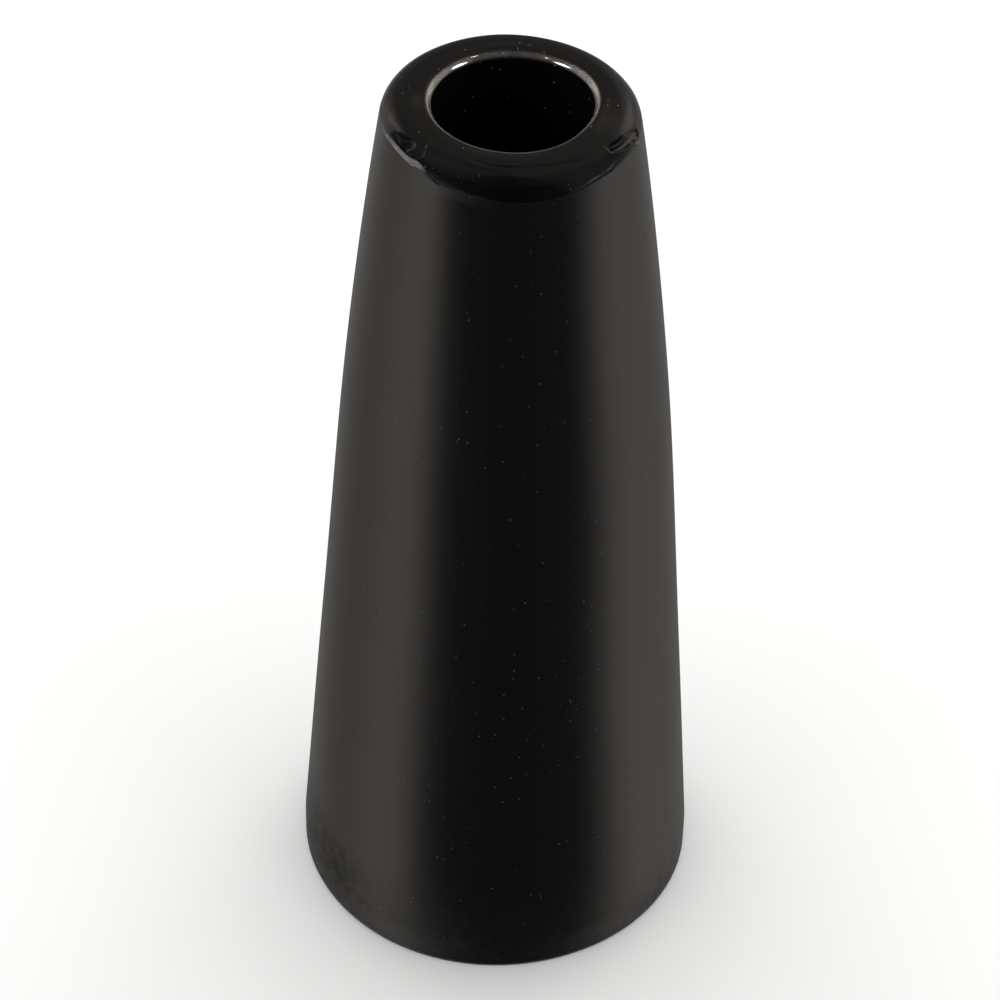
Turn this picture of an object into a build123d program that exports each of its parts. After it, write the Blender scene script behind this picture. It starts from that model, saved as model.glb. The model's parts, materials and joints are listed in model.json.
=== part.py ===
"""Tapered hollow shaping cone: a rigid tube with a rounded mouth, in a rubber jacket.

Millimetres. +Z is up, along the axis, from the foot to the mouth. The origin is the
centre of the flat foot.
"""
from build123d import *
import math
import os

# Driving dimensions
height = 77.0               # foot to mouth rim
foot_radius = 16.5          # outside of the jacket at the foot
foot_land = 2.6             # the side stands upright this far up from the foot
side_taper = 0.0773         # radius lost per millimetre of height above the land
mouth_draw_in = 1.15        # further radius lost by the mouth, where the side curves in

jacket_wall = 1.2           # thickness of the rubber, and depth of the core's shoulder
jacket_trim = 1.6           # the jacket is cut off this far below the rim

bore_radius = 6.0
bore_mouth_round = 0.65     # rounding from the bore up on to the rim
bore_foot_bevel = 0.4       # broken edge of the bore at the foot

# Derived dimensions
jacket_top = height - jacket_trim
SIDE_STATIONS = (0.0, 0.25, 0.5, 0.7, 0.85, 1.0)    # share of the way from land to jacket's edge

os.makedirs("parts", exist_ok=True)


def side_radius(z):
    """Outside radius above the land: a straight taper that curves in towards the mouth."""
    return foot_radius - side_taper * (z - foot_land) - mouth_draw_in * (z / height) ** 6


def side_slope(z):
    """Radius lost per millimetre of height at a height: the slope of side_radius."""
    return side_taper + 6 * mouth_draw_in * z ** 5 / height ** 6


def side_edges(wall):
    """Side of the cone, a wall's thickness in from the outside: the upright land at the foot,
    then the curve from there to the jacket's edge."""
    heights = [foot_land + share * (jacket_top - foot_land) for share in SIDE_STATIONS]
    curve = Spline(*[(side_radius(z) - wall, z) for z in heights])
    land = Line((foot_radius - wall, 0), curve @ 0)
    return land, curve


def turned(outline):
    """Solid of revolution about +Z from a closed outline drawn as (radius, height)."""
    profile = Plane.XZ * make_face(outline)
    return revolve(profile, Axis.Z)


def make_core_tube():
    """Tube with a straight bore. Its head is as wide as the jacket, which butts on the shoulder
    under it, and rounds over from the jacket's edge to the rim."""
    land, side = side_edges(jacket_wall)
    lean = math.atan(side_slope(jacket_top))
    head_round = jacket_trim / (1 - math.sin(lean))     # radius of an arc level at the rim
    head_edge = (side_radius(jacket_top), jacket_top)
    rim_outer = (head_edge[0] - head_round * math.cos(lean), height)
    rim_inner = (bore_radius + bore_mouth_round, height)
    bore_top = (bore_radius, height - bore_mouth_round)
    bore_bottom = (bore_radius, bore_foot_bevel)
    foot_inner = (bore_radius + bore_foot_bevel, 0)
    return turned([
        land,
        side,
        Line(side @ 1, head_edge),
        TangentArc(head_edge, rim_outer, tangent=(-math.sin(lean), math.cos(lean))),
        Line(rim_outer, rim_inner),
        TangentArc(rim_inner, bore_top, tangent=(-1, 0)),
        Line(bore_top, bore_bottom),
        Line(bore_bottom, foot_inner),
        Line(foot_inner, land @ 0),
    ])


def make_rubber_jacket():
    """Skin over the core's side, open at both ends, from the foot to the core's shoulder."""
    outer_land, outside = side_edges(0)
    inner_land, inside = side_edges(jacket_wall)
    return turned([
        outer_land,
        outside,
        Line(outside @ 1, inside @ 1),
        inside,
        inner_land,
        Line(inner_land @ 0, outer_land @ 0),
    ])


export_step(make_core_tube(), "parts/core_tube.step")
export_step(make_rubber_jacket(), "parts/rubber_jacket.step")
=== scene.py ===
"""Looks of the tapered shaping cone: a gloss black core whose rounded mouth stands out of a
satin black rubber jacket that was trimmed by hand.

Metres, in the CAD frame: +Z up the axis, origin at the centre of the foot. The camera stands
on the -Y side. Turns about the axis are in degrees from +X, so the front is at -90.
"""
import json
import math

import bpy
import numpy as np
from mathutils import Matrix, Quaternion, Vector


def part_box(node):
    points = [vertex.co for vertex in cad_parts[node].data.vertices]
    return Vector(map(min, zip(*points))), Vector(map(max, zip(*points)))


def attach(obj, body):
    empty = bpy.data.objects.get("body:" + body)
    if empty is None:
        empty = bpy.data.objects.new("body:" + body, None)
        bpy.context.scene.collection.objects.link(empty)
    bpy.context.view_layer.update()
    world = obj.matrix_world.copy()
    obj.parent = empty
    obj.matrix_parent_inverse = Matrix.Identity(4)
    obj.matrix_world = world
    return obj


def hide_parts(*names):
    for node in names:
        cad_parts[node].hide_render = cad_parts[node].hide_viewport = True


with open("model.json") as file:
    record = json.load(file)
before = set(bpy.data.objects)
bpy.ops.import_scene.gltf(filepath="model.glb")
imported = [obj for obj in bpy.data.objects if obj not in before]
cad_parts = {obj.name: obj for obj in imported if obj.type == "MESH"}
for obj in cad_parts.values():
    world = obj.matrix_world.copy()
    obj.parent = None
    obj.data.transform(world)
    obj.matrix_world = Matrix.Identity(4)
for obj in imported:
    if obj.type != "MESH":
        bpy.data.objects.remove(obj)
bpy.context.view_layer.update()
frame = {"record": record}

MM = 0.001

# Sizes from the frame
core_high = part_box("core_tube")[1]
jacket_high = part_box("rubber_jacket")[1]
height = core_high.z
foot_radius = jacket_high.x
jacket_wall = jacket_high.x - core_high.x
jacket_top = jacket_high.z
bore = next(m for m in frame["record"]["mounts"] if m["name"] == "bore")
bore_radius = bore["dims"]["r_mm"] * MM

# Section of the cone, as in the CAD model
foot_land = 2.6 * MM
side_taper = 0.0773
mouth_draw_in = 1.15 * MM
bore_mouth_round = 0.65 * MM
bore_foot_bevel = 0.4 * MM

# The mouth leans a little, up at the back and at the left, and is a touch proud
mouth_lift = 0.08 * MM
tilt_back = 0.012            # slope of the rim, up towards the back
tilt_left = 0.015            # slope of the rim, up towards the left
tilt_from = 12 * MM          # how far below the rim the lean starts

# The joint between the jacket and the core's head
trim_drop = 1.05 * MM        # how far below the rim the joint is, away from the front
trim_dip = 0.86 * MM         # how much lower it is at the front
dip_turn = -78
dip_left, dip_right = 43, 28             # how wide the dip is to each side, in degrees
least_bevel = 0.05 * MM
curl_reach = 0.45 * MM       # how far down from its edge the jacket is lifted
cut_seen = 0.08 * MM         # a bevel of this depth shows as a pale cut face, partly a painted highlight
gap = 0.02 * MM              # between the core and the jacket's inside
edge_round = 0.10 * MM       # rounding of the jacket's cut edge
foot_round = 0.28 * MM       # rounding of the jacket's edge at the foot
roll_round = 0.09 * MM       # rounding under the core's head
under_head = 2.6 * MM        # how far below the rim the core's side leaves its even steps

# Bumps round the axis: (size in mm, turn, width in degrees)
NICKS = [(0.34, -15, 2.2), (0.18, -20, 1.4), (0.10, -41, 1.6)]     # torn down at the right
CHIP = [(0.22, -147, 13), (0.32, -133, 6), (-0.10, -122, 2.0)]     # cut high at the left
BACK = [(0.15, 60, 40), (-0.10, 140, 30)]                          # drift at the back
BEVEL = [(0.20, -136, 4.0), (0.07, -148, 9), (0.06, -162, 9)]      # slanted cut face at the left
TORN_BEVEL = [(0.08, -15, 3)]                                      # and at the largest nick
CURL = [(0.10, -140, 18), (0.05, -30, 14)]                         # jacket's edge stands off
BOW = [(0.20, 5, 55)]                                              # side fuller at the right

# The bore's mouth opens out at the right and the back and closes in at the front
BORE_EDGE = [(0.44, 32, 42), (0.09, 90, 50), (-0.15, -125, 55), (-0.12, -28, 24)]
WIDER_ROUND = [(0.06, 32, 42), (0.34, 90, 50)]                     # its rounding is wider there
bore_true_from = 6 * MM      # depth over which the bore becomes round

# Where the camera stands, which the near lamps need too
camera_rise = math.radians(41.305)
to_camera = Vector((0, -math.cos(camera_rise), math.sin(camera_rise)))

COLUMNS = 1024               # facets round the axis
SHARP = math.radians(40)     # edges turned further than this are drawn sharp
SEED = 11


def side_radius(z):
    """Outside radius below the head: an upright land, then a taper that curves in at the mouth."""
    return foot_radius - side_taper * np.maximum(z - foot_land, 0) - mouth_draw_in * (z / height) ** 6


side_lean = math.atan(side_taper + 6 * mouth_draw_in * jacket_top ** 5 / height ** 6)
head_round = (height - jacket_top) / (1 - math.sin(side_lean))
head_centre = side_radius(jacket_top) - head_round * math.cos(side_lean)


def outer_radius(z):
    """Outside radius at a height: the side, then the head's rounding up to the rim."""
    rise = np.clip(z - (height - head_round), 0, head_round)
    rounded = head_centre + np.sqrt(head_round ** 2 - rise ** 2)
    return np.where(z < jacket_top, side_radius(z), rounded)


# ---------------------------------------------------------------- helpers

def hump(turn, centre, width):
    """Smooth bump of height 1 round the axis, centred on one turn, all in degrees."""
    away = (turn - centre + 180) % 360 - 180
    return np.exp(-(away / width) ** 2)


def bumps(turn, marks):
    """Height in metres of a list of bumps round the axis."""
    return sum(size * hump(turn, centre, width) for size, centre, width in marks) * MM


def window(value, low, high, soft):
    """1 between two values, falling to 0 outside them over a soft edge."""
    rise = np.clip((value - low) / soft + 0.5, 0, 1)
    fall = np.clip((high - value) / soft + 0.5, 0, 1)
    return rise * rise * (3 - 2 * rise) * fall * fall * (3 - 2 * fall)


def ring_noise(rng, turn, lowest, highest, fade=1.0):
    """Random line round the axis: cosines with whole numbers of waves, about 1 high."""
    angle = np.radians(turn)
    total = np.zeros_like(turn)
    power = 0.0
    for waves in range(lowest, highest + 1):
        size = waves ** -fade
        total += size * rng.normal() * np.cos(waves * angle + rng.uniform(0, 2 * math.pi))
        power += size * size
    return total / math.sqrt(power)


def surface_noise(rng, turn, along, waves_round, waves_along, terms):
    """Random relief over turn (degrees) and distance along a section (0 to 1), about 1 high."""
    angle = np.radians(turn)
    total = np.zeros(np.broadcast(turn, along).shape)
    for _ in range(terms):
        around = rng.integers(1, waves_round + 1)
        lengthways = rng.uniform(-waves_along, waves_along)
        phase = rng.uniform(0, 2 * math.pi)
        total += rng.normal() * np.cos(around * angle + 2 * math.pi * lengthways * along + phase)
    return total / math.sqrt(terms)


def lathe(name, radius, level, marks):
    """Closed mesh of revolution. radius and level are arrays with a row for each point of the
    section and a column for each turn; marks are float layers of the same shape, by name."""
    rows, columns = radius.shape
    angle = np.radians(turns)[None, :]
    x, y = radius * np.cos(angle), radius * np.sin(angle)
    near_mouth = np.clip((level - height + tilt_from) / tilt_from, 0, 1) ** 2
    lean = (mouth_lift + tilt_back * y - tilt_left * x) * near_mouth
    points = np.stack([x, y, level + lean], axis=-1)
    row, column = np.meshgrid(np.arange(rows), np.arange(columns), indexing="ij")
    next_row, next_column = (row + 1) % rows, (column + 1) % columns
    quads = np.stack([row * columns + column, row * columns + next_column,
                      next_row * columns + next_column, next_row * columns + column], axis=-1)
    mesh = bpy.data.meshes.new(name)
    mesh.from_pydata(points.reshape(-1, 3).tolist(), [], quads.reshape(-1, 4).tolist())
    for layer, values in marks.items():
        attribute = mesh.attributes.new(layer, "FLOAT", "POINT")
        attribute.data.foreach_set("value", values.astype(np.float32).ravel())
    mesh.polygons.foreach_set("use_smooth", [True] * len(mesh.polygons))
    mesh.set_sharp_from_angle(angle=SHARP)
    piece = bpy.data.objects.new(name, mesh)
    bpy.context.scene.collection.objects.link(piece)
    return piece


turns = np.arange(COLUMNS) * 360 / COLUMNS - 180


# ---------------------------------------------------------------- the trimmed edge

def trim_line(rng):
    """Height of the joint under the core's head, round the mouth. It dips at the front, is torn
    at the right and chipped at the left."""
    away = (turns - dip_turn + 180) % 360 - 180
    dip = trim_dip * np.exp(-(away / np.where(away < 0, dip_left, dip_right)) ** 2)
    waver = 0.030 * MM * ring_noise(rng, turns, 5, 24)
    rag = 0.012 * MM * ring_noise(rng, turns, 25, 160, 0.5)
    marks = bumps(turns, NICKS) - bumps(turns, CHIP) + bumps(turns, BACK)
    return height - (trim_drop + dip + waver + rag + marks)


def bevel_line(rng):
    """How far the jacket's cut face slants down outwards from the joint: most at the left."""
    rough = 1 + 0.12 * ring_noise(rng, turns, 12, 90, 0.5)
    return least_bevel + bumps(turns, BEVEL) * rough + bumps(turns, TORN_BEVEL)


# ---------------------------------------------------------------- pieces

def spaced(start, end, count):
    """Even steps from start up to but not including end."""
    return start + (end - start) * np.arange(count) / count


def build_jacket(trim, bevel):
    """Skin from the foot to the trimmed edge, with its slanted cut face and its inside."""
    rng = np.random.default_rng(SEED)
    shoulder = trim - bevel - edge_round
    foot_wear = foot_round * (1 + 0.15 * ring_noise(rng, turns, 2, 30))
    lift = bumps(turns, CURL)

    def fullness(z):
        return bumps(turns, BOW) * np.sin(math.pi * np.clip(z / height, 0, 1)) ** 1.5

    rows, heights = [], []
    # outside, from the foot up, in finer steps near both ends
    shares = np.concatenate([spaced(0, 0.0045, 9), spaced(0.0045, 0.03, 10), spaced(0.03, 0.12, 14),
                             spaced(0.12, 0.9, 40), spaced(0.9, 1.0, 30)])
    for share in shares:
        z = shoulder * share
        down = np.clip(1 - z / foot_round, 0, 1)
        wear_and_highlight = foot_wear * (1 - np.sqrt(1 - down ** 2))
        curl = lift * np.exp(-((shoulder - z) / curl_reach) ** 2)
        rows.append(outer_radius(z) - wear_and_highlight + curl + fullness(z))
        heights.append(z)
    # rounded edge
    round_rows, cut_rows = 6, 10
    outer = outer_radius(shoulder) + lift + fullness(shoulder)
    for part in spaced(0, 1, round_rows):
        bend = part * math.radians(50)
        rows.append(outer - edge_round * (1 - math.cos(bend)))
        heights.append(shoulder + edge_round * math.sin(bend))
    # slanted cut face, up and in to the joint, rough where it is wide
    edge_in, edge_up = rows[-1], heights[-1]
    joint_in = outer_radius(trim) - 0.5 * roll_round - 0.25 * bevel
    for part in spaced(0, 1, cut_rows):
        rag = 0.20 * bevel * math.sin(math.pi * part) * ring_noise(rng, turns, 20, 150, 0.3)
        rows.append(edge_in + (joint_in - edge_in) * part + rag)
        heights.append(edge_up + (trim - edge_up) * part)
    # on in under the core's head, with a gap to it
    inner_edge = outer_radius(trim) - jacket_wall
    for part in spaced(0, 1, 6):
        rows.append(joint_in + (inner_edge - joint_in) * part)
        heights.append(trim - gap * part)
    # inside, down to the foot
    for share in 1 - spaced(0, 1, 24):
        z = (trim - gap) * share
        rows.append(outer_radius(z) - jacket_wall)
        heights.append(z)
    # underside, out to the foot's edge
    for part in spaced(0, 1, 5):
        rows.append(foot_radius - jacket_wall + (jacket_wall - foot_wear) * part)
        heights.append(np.zeros(COLUMNS))
    radius, level = np.array(rows), np.array(heights)
    cut_from = len(shares) + round_rows
    cut_to = cut_from + cut_rows
    outside = np.zeros((len(radius), 1))
    outside[:cut_to] = 1
    swell = 0.030 * MM * surface_noise(rng, turns[None, :], level / height, 6, 2.5, 16)
    radius = radius + swell * outside
    # marks: the pale cut face, partly a painted highlight along the jacket's edge, and scrapes beside it,
    # and the side rubbed matt near the foot
    cut_and_highlight = np.zeros_like(radius)
    cut_and_highlight[cut_from - 2:cut_to + 2] = np.clip(bevel / cut_seen - 0.6, 0, 1)
    cut_and_highlight[cut_from - 8:cut_to + 2] += 0.07 * hump(turns, -114, 13)
    rubbed = hump(turns, -144, 15) * window(level, 1.5 * MM, 7.5 * MM, 4 * MM)
    rubbed += 0.5 * hump(turns, -30, 14) * window(level, 0, 3 * MM, 3 * MM)
    return lathe("satin_jacket", radius, level, {"cut_and_highlight": np.clip(cut_and_highlight, 0, 1), "rubbed": rubbed})


def head_relief(rng, reach):
    """Height of the marks on the core's head, over its smooth shape. reach is the distance out
    from where the rounding starts, negative on the flat crown. The numbers are mm and degrees."""
    turn = turns[None, :] * np.ones_like(reach)
    across = reach / MM
    waves = 0.008 * surface_noise(rng, turn, across / 6, 9, 2.5, 18)
    ripples = surface_noise(rng, turn, across / 3, 70, 5.0, 40)
    # chip at the front left: two teeth, each falling towards the front and ending in a steep step
    tooth_turns, tooth_depths = [-158, -145.0, -142.4, -137.2, -135.2], [0, 0.32, 0.10, 0.23, 0]
    upper_edge = 1.45 - 1.15 * (turn + 157) / 22
    crooked = turn + 1.5 * np.sin(3.6 * across + 0.6) + 0.5 * ripples
    teeth = np.interp(crooked, tooth_turns, tooth_depths)
    below_edge = np.clip((across - upper_edge) / 0.7 + 0.5, 0, 1)
    left = -below_edge ** 2 * (3 - 2 * below_edge) * teeth * (1 + 0.05 * ripples)
    # scored hollow at the front right, between a near and a far edge
    near = np.interp(turn, [-35, -24, -13], [0.66, 0.94, 1.60])
    far = np.interp(turn, [-35, -27, -22, -13], [1.38, 1.75, 1.98, 2.25])
    scored = window(turn, -35.5, -12.5, 3.0) * window(across, near, far, 0.16)
    wander = 0.07 * ring_noise(rng, turns, 8, 40)
    scores = ((across + wander) / 0.38 - (turn + 30) / 12) % 1
    right = scored * (-0.20 + 0.17 * scores + 0.006 * ripples)
    # steps beside the joint, further round to the front
    steps = 0.06 * hump(turn, -40.6, 1.6) * np.exp(-((across - 2.00) / 0.24) ** 2)
    steps += 0.06 * hump(turn, -52, 2.6) * np.exp(-((across - 2.20) / 0.18) ** 2)
    # flow line at the front, where the crown meets the rounding, drifting outwards to the right
    drift = 0.50 * np.clip((turn + 90) / 38, 0, 1) ** 1.6
    course = 0.02 + drift + 0.05 * ring_noise(rng, turns, 6, 30)
    seam = window(turn, -108, -52, 7)
    flow = -0.11 * seam * np.exp(-((across - course) / 0.12) ** 2)
    return (waves + left + right + steps + flow) * MM


def build_core(trim):
    """Tube with its straight bore, its rounded glossy head and the side under the jacket."""
    rng = np.random.default_rng(SEED + 1)
    rows, heights, bends, reaches = [], [], [], []

    def add(radius, z, bend=0, reach=0):
        rows.append(radius * np.ones(COLUMNS))
        heights.append(z * np.ones(COLUMNS))
        bends.append(bend * np.ones(COLUMNS))
        reaches.append(reach * np.ones(COLUMNS))

    foot_inner = bore_radius + bore_foot_bevel
    foot_outer = foot_radius - jacket_wall - gap
    for part in spaced(0, 1, 12):              # foot, outwards
        add(foot_inner + (foot_outer - foot_inner) * part, 0)
    under = height - under_head
    for part in spaced(0, 1, 16):              # side under the jacket
        add(side_radius(under * part) - jacket_wall - gap, under * part)
    for part in spaced(0, 1, 5):
        z = under + (trim - under) * part
        add(outer_radius(z) - jacket_wall - gap, z)
    roll_top = trim + roll_round
    edge = outer_radius(roll_top)
    inner = outer_radius(trim) - jacket_wall - gap
    for part in spaced(0, 1, 6):               # shoulder, out over the jacket's edge
        add(inner + (edge - roll_round - inner) * part, trim)
    for part in spaced(0, 1, 12):              # rolled edge
        bend = part * math.pi / 2
        add(edge - roll_round * (1 - math.sin(bend)), roll_top - roll_round * math.cos(bend))
    start = np.arcsin(np.clip((roll_top - height + head_round) / head_round, -1, 1))
    head_start = len(rows)
    for part in spaced(0, 1, 56):              # head, up to the rim
        bend = start + (math.pi / 2 - start) * part
        z = height - head_round * (1 - np.sin(bend))
        add(outer_radius(z), z, bend, head_round * (math.pi / 2 - bend))
    bore_in = bore_radius + bumps(turns, BORE_EDGE)
    crown_in = bore_in + bore_mouth_round + bumps(turns, WIDER_ROUND)
    for part in spaced(0, 1, 24):              # crown
        reach = (crown_in - head_centre) * part
        add(head_centre + reach, height, math.pi / 2, reach)
    crown_end = len(rows)
    for part in spaced(0, 1, 20):              # inner rounding
        bend = part * math.pi / 2
        add(crown_in - (crown_in - bore_in) * math.sin(bend),
            height - bore_mouth_round * (1 - math.cos(bend)))
    rounding_end = len(rows)
    bore_length = height - bore_mouth_round - bore_foot_bevel
    for part in spaced(0, 1, 40) ** 2:         # bore, down
        uneven = math.exp(-(bore_length * part / bore_true_from) ** 2)
        add(bore_radius + (bore_in - bore_radius) * uneven, height - bore_mouth_round - bore_length * part)
    for part in spaced(0, 1, 3):               # bevel at the foot
        add(bore_radius + bore_foot_bevel * part, bore_foot_bevel * (1 - part))
    radius, level = np.array(rows), np.array(heights)
    # the relief stands out along each point's normal, and fades out by the head's first and last rows
    head = slice(head_start, crown_end)
    bend, reach = np.array(bends)[head], np.array(reaches)[head]
    relief = head_relief(rng, reach)
    head_rows = crown_end - head_start
    fade = window(np.arange(head_rows)[:, None], 2, head_rows - 6, 4)
    radius[head] += relief * fade * np.cos(bend)
    level[head] += relief * fade * np.sin(bend)
    # mark: a pale metallic ring on the bore's rounding, a painted highlight, further in at the sides and the
    # back than at the front
    bore_highlight = np.zeros_like(radius)
    sides = 0.21 + 0.66 * hump(turns, -90, 50) + hump(turns, -178, 44) + hump(turns, 8, 36)
    sides = np.clip(sides * (1 + 0.10 * ring_noise(rng, turns, 6, 60, 0.5)), 0, 1)
    inward = np.linspace(0, 1, rounding_end + 1 - crown_end)[:, None]
    highlight_from = 0.34 - 0.22 * hump(turns, -90, 62)
    bore_highlight[crown_end:rounding_end + 1] = sides * window(inward, highlight_from, 0.80, 0.36) ** 1.3
    # mark: lighter grey patches at the left, at the right and at the front of the crown
    across = reach / MM
    lighter_patch = np.zeros_like(radius)
    lighter_patch[head] = 0.8 * hump(turns, -176, 7) * window(across, -2.0, -0.6, 0.7)
    lighter_patch[head] += 0.6 * hump(turns, -14, 14) * window(across, -1.4, 0.5, 0.9)
    lighter_patch[head] += 0.7 * hump(turns, -95, 34) * window(across, -2.3, -1.0, 0.9)
    return lathe("gloss_core", radius, level, {"bore_highlight": bore_highlight, "lighter_patch": lighter_patch})


# ---------------------------------------------------------------- materials

def new_material(name):
    """A material, with its nodes, its links and its shader."""
    material = bpy.data.materials.new(name)
    material.use_nodes = True
    nodes = material.node_tree.nodes
    return material, nodes, material.node_tree.links, nodes["Principled BSDF"]


def put(nodes, links, kind, inputs=None, **settings):
    """Adds a node, with its settings, and its inputs as values or links."""
    node = nodes.new(kind)
    for key, value in settings.items():
        setattr(node, key, value)
    for key, value in (inputs or {}).items():
        if isinstance(value, bpy.types.NodeSocket):
            links.new(value, node.inputs[key])
        else:
            node.inputs[key].default_value = value
    return node


def mapped(nodes, links, value, low, high, to_low, to_high):
    """A value stretched from one range to another, and held at its ends."""
    inputs = {"Value": value, "From Min": low, "From Max": high, "To Min": to_low, "To Max": to_high}
    return put(nodes, links, "ShaderNodeMapRange", inputs).outputs["Result"]


def noise(nodes, links, place, scale, detail=3.0, rough=0.55):
    """Random field from 0 to 1, with scale in features a metre."""
    inputs = {"Vector": place, "Scale": scale, "Detail": detail, "Roughness": rough}
    return put(nodes, links, "ShaderNodeTexNoise", inputs).outputs["Fac"]


def combine(nodes, links, how, first, second):
    """Two values put together by a Math node's operation."""
    return put(nodes, links, "ShaderNodeMath", {0: first, 1: second}, operation=how).outputs[0]


def stretched(nodes, links, place, scale, turn=(0, 0, 0)):
    """The place scaled along X, Y and Z, then turned: under 1, what is drawn on it is drawn out."""
    inputs = {"Vector": place, "Scale": scale, "Rotation": turn}
    return put(nodes, links, "ShaderNodeMapping", inputs).outputs[0]


def tint(nodes, links, share, colour, under):
    """A colour laid over what is under it, by share. Each colour is a value or a link."""
    node = put(nodes, links, "ShaderNodeMix", {"Factor": share}, data_type="RGBA")
    for socket, value in ((node.inputs[6], under), (node.inputs[7], colour)):
        if isinstance(value, bpy.types.NodeSocket):
            links.new(value, socket)
        else:
            socket.default_value = (*value, 1)
    return node.outputs[2]


def specks(nodes, links, place, scale, size):
    """Share of dust: small dots at random points, some bright and some faint."""
    cell = put(nodes, links, "ShaderNodeTexVoronoi", {"Vector": place, "Scale": scale})
    dot = mapped(nodes, links, cell.outputs["Distance"], size, 0.4 * size, 0, 1)
    pick = put(nodes, links, "ShaderNodeSeparateColor", {"Color": cell.outputs["Color"]})
    strength = mapped(nodes, links, pick.outputs[0], 0.35, 1.0, 0.0, 1.0)
    return combine(nodes, links, "MULTIPLY", dot, strength)


def satin_black():
    """Satin rubber: fine grain, faint handling marks, dust, a sanded foot and a pale cut edge, partly a
    painted highlight.
    """
    bare_rubber = (0.0048, 0.0045, 0.0046)
    scuffed = (0.0076, 0.0071, 0.0071)
    fleck = (0.0190, 0.0182, 0.0176)
    lint = (0.30, 0.29, 0.28)
    # pale cut face colour, partly a painted highlight on the jacket's edge
    cut_and_highlight_colour = (0.175, 0.170, 0.164)
    sanded_from, sanded_to, sanded_wander = 0.5 * MM, 13.0 * MM, 4.0 * MM
    grain_depth = 0.02 * MM
    material, nodes, links, shader = new_material("satin_black_rubber")
    place = put(nodes, links, "ShaderNodeTexCoord").outputs["Object"]
    level = put(nodes, links, "ShaderNodeSeparateXYZ", {0: place}).outputs["Z"]
    cloud = noise(nodes, links, place, 110, 4)
    patch = noise(nodes, links, place, 900, 5, 0.65)
    grain = noise(nodes, links, place, 5200, 2)

    # sanded zone, with a wandering upper edge
    drift = noise(nodes, links, place, 75, 1)
    wander = mapped(nodes, links, drift, 0.2, 0.8, -sanded_wander, sanded_wander)
    uneven = combine(nodes, links, "ADD", level, wander)
    sanded = mapped(nodes, links, uneven, sanded_from, sanded_to, 1, 0)
    sanded = combine(nodes, links, "MULTIPLY", sanded, sanded)
    mottled = combine(nodes, links, "MULTIPLY", sanded, mapped(nodes, links, patch, 0.2, 0.8, 0.3, 1.0))

    # short fibres and hairline scratches, up the side and across it
    upright = stretched(nodes, links, place, (1.0, 1.0, 0.12), (0.1, 0.06, 0))
    leaning = stretched(nodes, links, place, (0.16, 1.0, 1.0), (0.5, 0.7, 0.4))
    hairs = combine(nodes, links, "MAXIMUM", specks(nodes, links, upright, 420, 0.022),
                    specks(nodes, links, leaning, 400, 0.022))
    dust = combine(nodes, links, "MAXIMUM", specks(nodes, links, place, 1500, 0.105), hairs)

    # the pale cut face: partly raw cut rubber, partly a painted highlight along the edge
    cut_and_highlight = put(nodes, links, "ShaderNodeAttribute", attribute_name="cut_and_highlight").outputs["Fac"]
    rag = mapped(nodes, links, patch, 0.30, 0.62, 0.55, 1.0)
    cut_and_highlight_share = combine(nodes, links, "MULTIPLY", cut_and_highlight, rag)

    fine = noise(nodes, links, place, 2300, 3, 0.6)
    flecks = combine(nodes, links, "MULTIPLY", sanded, mapped(nodes, links, fine, 0.50, 0.74, 0.0, 1.0))
    colour = tint(nodes, links, mottled, scuffed, bare_rubber)
    colour = tint(nodes, links, flecks, fleck, colour)
    colour = tint(nodes, links, combine(nodes, links, "MULTIPLY", dust, 0.55), lint, colour)
    colour = tint(nodes, links, cut_and_highlight_share, cut_and_highlight_colour, colour)
    links.new(colour, shader.inputs["Base Color"])

    gloss = mapped(nodes, links, cloud, 0.25, 0.75, 0.235, 0.275)
    gloss = combine(nodes, links, "ADD", gloss, mapped(nodes, links, patch, 0.3, 0.7, -0.012, 0.012))
    rubbed = put(nodes, links, "ShaderNodeAttribute", attribute_name="rubbed").outputs["Fac"]
    matt = combine(nodes, links, "MULTIPLY", rubbed, mapped(nodes, links, patch, 0.3, 0.7, 0.12, 0.34))
    gloss = combine(nodes, links, "ADD", gloss, combine(nodes, links, "MULTIPLY", mottled, 0.24))
    gloss = combine(nodes, links, "ADD", gloss, matt)
    gloss = combine(nodes, links, "MAXIMUM", gloss, combine(nodes, links, "MULTIPLY", cut_and_highlight_share, 0.6))
    links.new(gloss, shader.inputs["Roughness"])

    relief = combine(nodes, links, "ADD", combine(nodes, links, "MULTIPLY", grain, 0.18),
                     combine(nodes, links, "MULTIPLY", dust, 0.8))
    bump = put(nodes, links, "ShaderNodeBump", {"Height": relief, "Strength": 0.35, "Distance": grain_depth})
    links.new(bump.outputs[0], shader.inputs["Normal"])
    return material


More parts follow.
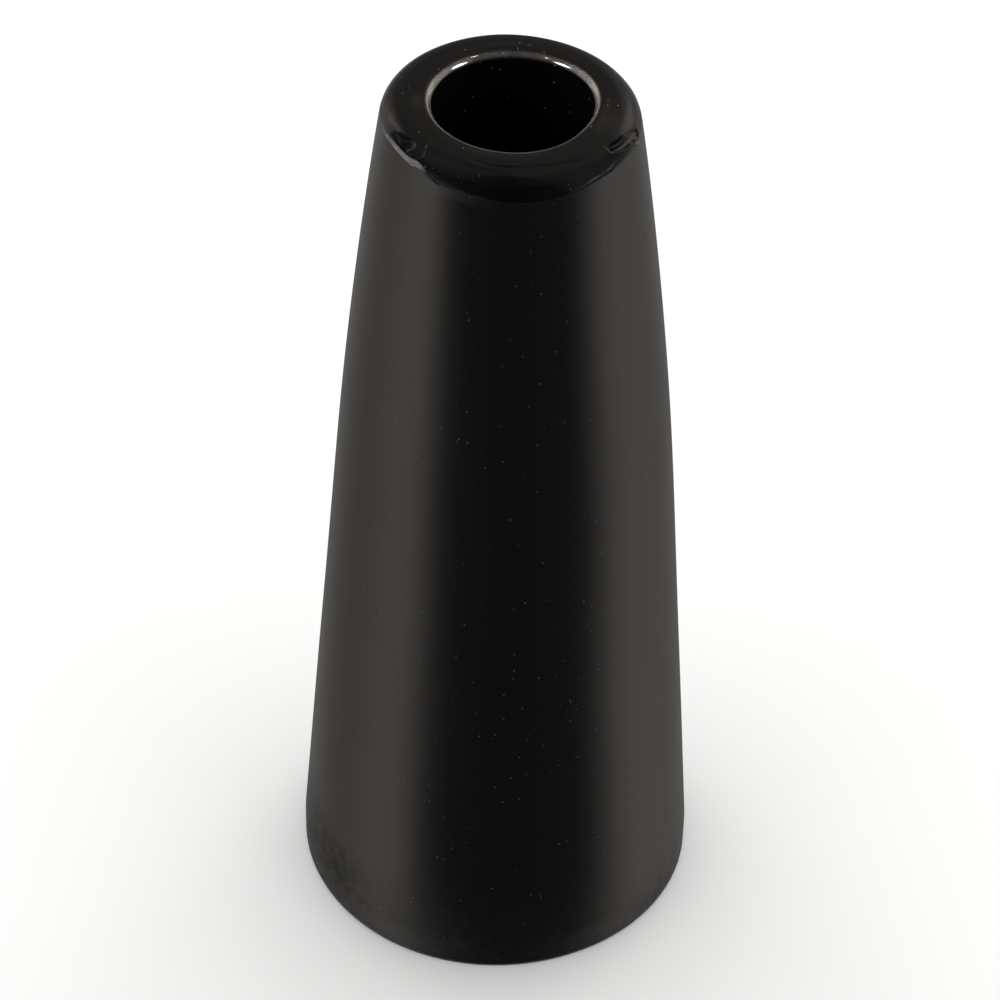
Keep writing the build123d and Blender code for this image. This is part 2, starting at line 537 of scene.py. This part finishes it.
def gloss_black():
    """Hard gloss plastic: faint flow waves, pits, a pale line on the bore's edge that is a painted
    highlight, and dust.
    """
    plastic = (0.0011, 0.0010, 0.0010)
    # pale colour of the painted highlight on the bore's rounding
    painted_highlight_colour = (0.52, 0.475, 0.430)
    lighter_grey = (0.0105, 0.0100, 0.0092)
    lint = (0.26, 0.25, 0.24)
    ground_foot = (0.012, 0.0115, 0.011)
    ground_from, ground_to = 0.2 * MM, 0.6 * MM
    wave_depth = 0.05 * MM
    material, nodes, links, shader = new_material("gloss_black_plastic")
    place = put(nodes, links, "ShaderNodeTexCoord").outputs["Object"]
    level = put(nodes, links, "ShaderNodeSeparateXYZ", {0: place}).outputs["Z"]
    cloud = noise(nodes, links, place, 260, 3)
    patch = noise(nodes, links, place, 1500, 4, 0.6)
    fibre = stretched(nodes, links, place, (1.0, 0.14, 1.0), (0.3, 0.2, 0.9))
    dust = combine(nodes, links, "MAXIMUM", specks(nodes, links, place, 1500, 0.115),
                   specks(nodes, links, fibre, 460, 0.026))
    pits = specks(nodes, links, stretched(nodes, links, place, (1, 1, 1), (0.4, 0.2, 0.7)), 1100, 0.085)

    # painted highlight: a pale metallic ring on the bore's rounding that brightens its reflection
    bore_highlight = put(nodes, links, "ShaderNodeAttribute", attribute_name="bore_highlight").outputs["Fac"]
    wear_and_highlight = combine(nodes, links, "MULTIPLY", bore_highlight, mapped(nodes, links, patch, 0.3, 0.7, 0.75, 1.0))
    foot = mapped(nodes, links, level, ground_from, ground_to, 1, 0)
    turned = noise(nodes, links, stretched(nodes, links, place, (1, 1, 0.2)), 2300, 5, 0.7)

    highlight_share = combine(nodes, links, "MULTIPLY", wear_and_highlight, wear_and_highlight)
    colour = tint(nodes, links, highlight_share, painted_highlight_colour, plastic)
    # metallic on the ring makes its reflection brighter: a painted highlight
    links.new(wear_and_highlight, shader.inputs["Metallic"])
    lighter_patch = put(nodes, links, "ShaderNodeAttribute", attribute_name="lighter_patch").outputs["Fac"]
    lighter_share = combine(nodes, links, "MULTIPLY", lighter_patch, mapped(nodes, links, cloud, 0.35, 0.65, 0.4, 1.0))
    colour = tint(nodes, links, lighter_share, lighter_grey, colour)
    clean = combine(nodes, links, "SUBTRACT", 1.0, bore_highlight)
    dusty = combine(nodes, links, "MULTIPLY", combine(nodes, links, "MULTIPLY", dust, clean), 0.5)
    colour = tint(nodes, links, dusty, lint, colour)
    colour = tint(nodes, links, combine(nodes, links, "MULTIPLY", foot, turned), ground_foot, colour)
    links.new(colour, shader.inputs["Base Color"])

    gloss = mapped(nodes, links, cloud, 0.25, 0.75, 0.055, 0.095)
    gloss = combine(nodes, links, "ADD", gloss, combine(nodes, links, "MULTIPLY", pits, 0.25))
    gloss = combine(nodes, links, "ADD", gloss, combine(nodes, links, "MULTIPLY", foot, 0.32))
    links.new(gloss, shader.inputs["Roughness"])

    relief = combine(nodes, links, "ADD", combine(nodes, links, "MULTIPLY", cloud, 0.6),
                     combine(nodes, links, "MULTIPLY", patch, 0.05))
    relief = combine(nodes, links, "SUBTRACT", relief, combine(nodes, links, "MULTIPLY", pits, 0.5))
    relief = combine(nodes, links, "ADD", relief, combine(nodes, links, "MULTIPLY", dust, 0.6))
    bump = put(nodes, links, "ShaderNodeBump", {"Height": relief, "Strength": 0.30, "Distance": wave_depth})
    links.new(bump.outputs[0], shader.inputs["Normal"])
    return material


def pale_floor():
    """Pale matt floor, with hardly any gloss."""
    material, nodes, links, shader = new_material("pale_floor")
    shader.inputs["Base Color"].default_value = (0.85, 0.85, 0.85, 1)
    shader.inputs["Roughness"].default_value = 0.9
    shader.inputs["Specular IOR Level"].default_value = 0.1
    return material


# ---------------------------------------------------------------- studio

def build_floor():
    """Wide floor under the foot. It stays out of the object's gloss, which mirrors the studio."""
    bpy.ops.mesh.primitive_plane_add(size=6, location=(0, 0, 0))
    floor = bpy.context.object
    floor.name = "floor"
    floor.data.materials.append(pale_floor())
    floor.visible_glossy = False


def area_light(name, place, aim, width, tall, watts, gloss=True, spread=180):
    """Rectangular lamp, aimed at a point, with its width level."""
    data = bpy.data.lights.new(name, "AREA")
    data.shape = "RECTANGLE"
    data.size, data.size_y = width, tall
    data.energy = watts
    data.spread = math.radians(spread)
    light = bpy.data.objects.new(name, data)
    bpy.context.scene.collection.objects.link(light)
    light.location = place
    light.rotation_euler = (Vector(aim) - Vector(place)).to_track_quat("-Z", "Y").to_euler()
    light.visible_camera = False
    light.visible_glossy = gloss


def build_lights():
    """One soft lamp over the object, and small ones close by. Each small lamp stands where a point
    on the bore's rounding mirrors it to the camera, as a bright streak: the point's turn, and how
    far the rounding has bent down there. A lamp's size is in radians, seen from that point."""
    area_light("overhead", (0, 0.2, 1.2), (0, 0, height / 2), 1.6, 1.6, 24, gloss=False)
    edge = bore_radius + 0.4 * bore_mouth_round
    depth = 0.15 * MM            # of the point below the rim
    reach = 25 * MM              # from the point to its lamp
    power = 5.4                  # watts for each square metre of lamp
    beam = 24                    # narrow enough to miss the outside of the head, in degrees
    for name, turn, bend, width, tall in (("streak_left", 133, 49, 0.60, 0.26),
                                          ("streak_right", 57, 47, 0.58, 0.26),
                                          ("glint_left", 122, 29, 0.035, 0.05),
                                          ("glint_right", 71, 36, 0.030, 0.05)):
        turn, bend = math.radians(turn), math.radians(bend)
        target = Vector((edge * math.cos(turn), edge * math.sin(turn), height - depth))
        inward = Vector((-math.cos(turn), -math.sin(turn), 0))
        facing = math.sin(bend) * inward + Vector((0, 0, math.cos(bend)))
        away = 2 * facing.dot(to_camera) * facing - to_camera
        width, tall = width * reach, tall * reach
        area_light(name, target + reach * away, target, width, tall, power * width * tall, spread=beam)


# The studio's panels: grey levels round the compass, as (turn, level), in rings from low to high
LOW = [(-180, 0.64), (-165, 0.95), (-150, 0.98), (-141, 0.60), (-133, 0.17), (-122, 0.06), (-90, 0.035),
       (-38, 0.055), (-26, 0.33), (-13, 0.78), (0, 0.80), (15, 0.62), (30, 0.44), (45, 0.34), (75, 0.28),
       (90, 0.15), (105, 0.32), (150, 0.34), (165, 0.42)]
LEVEL = [(-180, 0.30), (-165, 0.40), (-148, 0.20), (-138, 0.12), (-126, 0.06), (-90, 0.03), (-52, 0.06),
         (-34, 0.20), (-12, 0.23), (10, 0.24), (32, 0.24), (45, 0.45), (60, 0.30), (90, 0.09), (118, 0.20),
         (135, 0.50), (150, 0.55), (165, 0.30)]
MID = [(-180, 0.10), (-165, 0.12), (-150, 0.10), (-120, 0.055), (-90, 0.032), (-56, 0.045), (-40, 0.15),
       (-26, 0.22), (0, 0.19), (24, 0.15), (34, 0.30), (44, 0.85), (56, 0.75), (70, 0.30), (90, 0.17),
       (116, 0.18), (128, 0.36), (139, 0.90), (148, 0.45), (158, 0.13)]
HIGH = [(-180, 0.24), (-150, 0.17), (-120, 0.09), (-90, 0.055), (-60, 0.09), (-34, 0.18), (0, 0.22),
        (30, 0.27), (75, 0.21), (90, 0.175), (110, 0.17), (150, 0.22)]
# Each upper ring takes over from the one below between two rises, the Z of a direction
UPPER_RINGS = [(LEVEL, -0.25, 0.0), (MID, 0.1, 0.36), (HIGH, 0.5, 0.74)]
WARMTH = (1.045, 1.0, 0.945)
ROOM = (0.95, 0.95, 0.95)


def ramp(nodes, stops):
    """One ring of panels as a colour ramp. It closes on its first level."""
    stops = stops + [(180, stops[0][1])]
    node = nodes.new("ShaderNodeValToRGB")
    elements = node.color_ramp.elements
    node.color_ramp.interpolation = "EASE"
    while len(elements) < len(stops):
        elements.new(0.5)
    for element, (turn, grey) in zip(elements, stops):
        element.position = (turn + 180) / 360
        element.color = (*(grey * share for share in WARMTH), 1)
    return node


def build_world():
    """A studio of two bright side panels, dim above and dark in front, which lights and shows in
    the object. To the camera the room is plain and pale."""
    world = bpy.data.worlds.new("studio")
    world.use_nodes = True
    tree = world.node_tree
    nodes, links = tree.nodes, tree.links
    direction = put(nodes, links, "ShaderNodeTexCoord").outputs["Generated"]
    split = put(nodes, links, "ShaderNodeSeparateXYZ", {0: direction}).outputs
    compass = combine(nodes, links, "ARCTAN2", split["Y"], split["X"])
    turn = mapped(nodes, links, compass, -math.pi, math.pi, 0, 1)
    # the low panels' edges lean a little: further round to the right, the lower they are
    lean = mapped(nodes, links, split["Z"], -0.62, -0.45, -2.4 / 360, 2.4 / 360)
    low_ring = ramp(nodes, LOW)
    links.new(combine(nodes, links, "ADD", turn, lean), low_ring.inputs["Fac"])
    colour = low_ring.outputs["Color"]
    for stops, low, high in UPPER_RINGS:
        ring = ramp(nodes, stops)
        links.new(turn, ring.inputs["Fac"])
        inputs = {"Value": split["Z"], "From Min": low, "From Max": high}
        rise = put(nodes, links, "ShaderNodeMapRange", inputs, interpolation_type="SMOOTHSTEP")
        colour = tint(nodes, links, rise.outputs[0], ring.outputs["Color"], colour)
    # the floor side of the room is dimmer
    fall = mapped(nodes, links, split["Z"], -0.63, -0.49, 0.75, 1.0)
    colour = put(nodes, links, "ShaderNodeVectorMath", {0: colour, 3: fall}, operation="SCALE").outputs[0]
    seen = put(nodes, links, "ShaderNodeLightPath").outputs["Is Camera Ray"]
    links.new(tint(nodes, links, seen, ROOM, colour), nodes["Background"].inputs["Color"])
    world.cycles.sampling_method = "NONE"
    bpy.context.scene.world = world


def build_camera():
    """The photograph's view: a long lens, with a slight roll."""
    aim = Vector((-0.002 * height, 0, 0.49 * height))
    distance = 3.960 * height
    roll = 0.0224
    data = bpy.data.cameras.new("camera")
    data.lens = 135.55
    data.sensor_width = 36
    data.clip_start = 0.01
    camera = bpy.data.objects.new("camera", data)
    bpy.context.scene.collection.objects.link(camera)
    camera.location = aim + distance * to_camera
    level = (-to_camera).to_track_quat("-Z", "Y")
    camera.rotation_mode = "QUATERNION"
    camera.rotation_quaternion = level @ Quaternion((0, 0, 1), roll)
    bpy.context.scene.camera = camera


hand = np.random.default_rng(SEED)
trim = trim_line(hand)
jacket = build_jacket(trim, bevel_line(hand))
jacket.data.materials.append(satin_black())
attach(jacket, "root")
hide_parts("rubber_jacket")

core = build_core(trim)
core.data.materials.append(gloss_black())
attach(core, "root")
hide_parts("core_tube")

build_floor()
build_lights()
build_world()
build_camera()
bpy.context.scene.view_settings.view_transform = "Standard"
